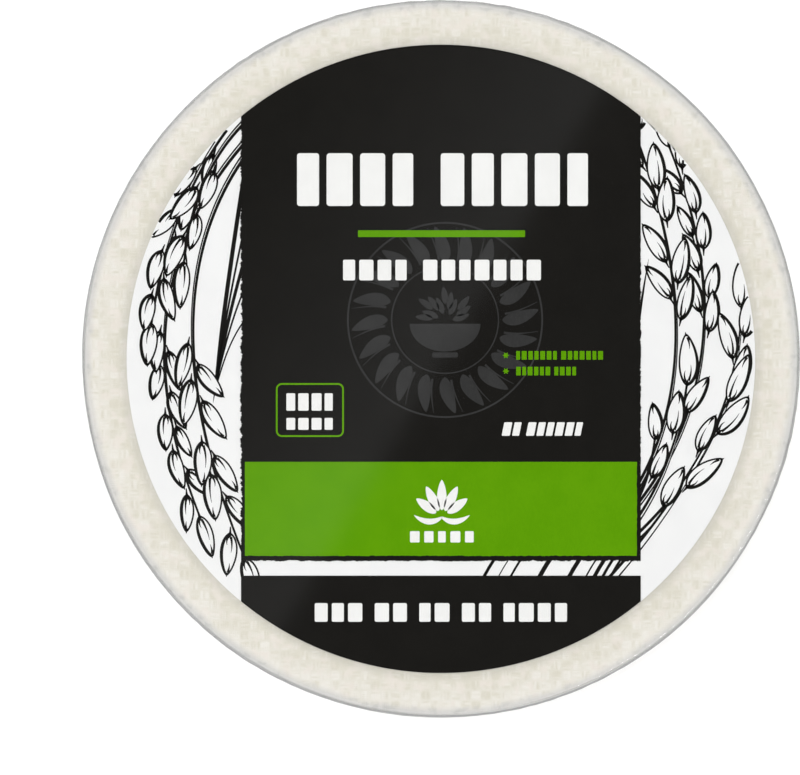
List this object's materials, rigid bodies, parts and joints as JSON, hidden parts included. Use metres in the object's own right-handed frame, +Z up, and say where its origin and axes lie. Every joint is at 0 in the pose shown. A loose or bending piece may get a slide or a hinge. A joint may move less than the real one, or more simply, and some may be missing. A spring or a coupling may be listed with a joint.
{
  "type": "rice paper wrapper pack",
  "caption": "Flat round pack of dried rice paper sheets in tight clear film, with a round printed paper label on top.",
  "frame": {"origin": "middle of the flat underside, at the bottom of the pack", "axes": "+Z up out of the printed label, through the middle of the round stack; +Y towards the top of the print; +X towards its right"},
  "size_m": [0.2232, 0.2232, 0.0146],
  "materials": {
    "rice_paper": "dry woven-faced sheets under clear glossy film",
    "printed_label": "coated paper, printed black, green and white",
    "clear_film": "thin clear shrink film"
  },
  "bodies": {
    "root": {"wrapped_stack": "rice_paper", "label_disc": "printed_label"}
  },
  "joints": []
}
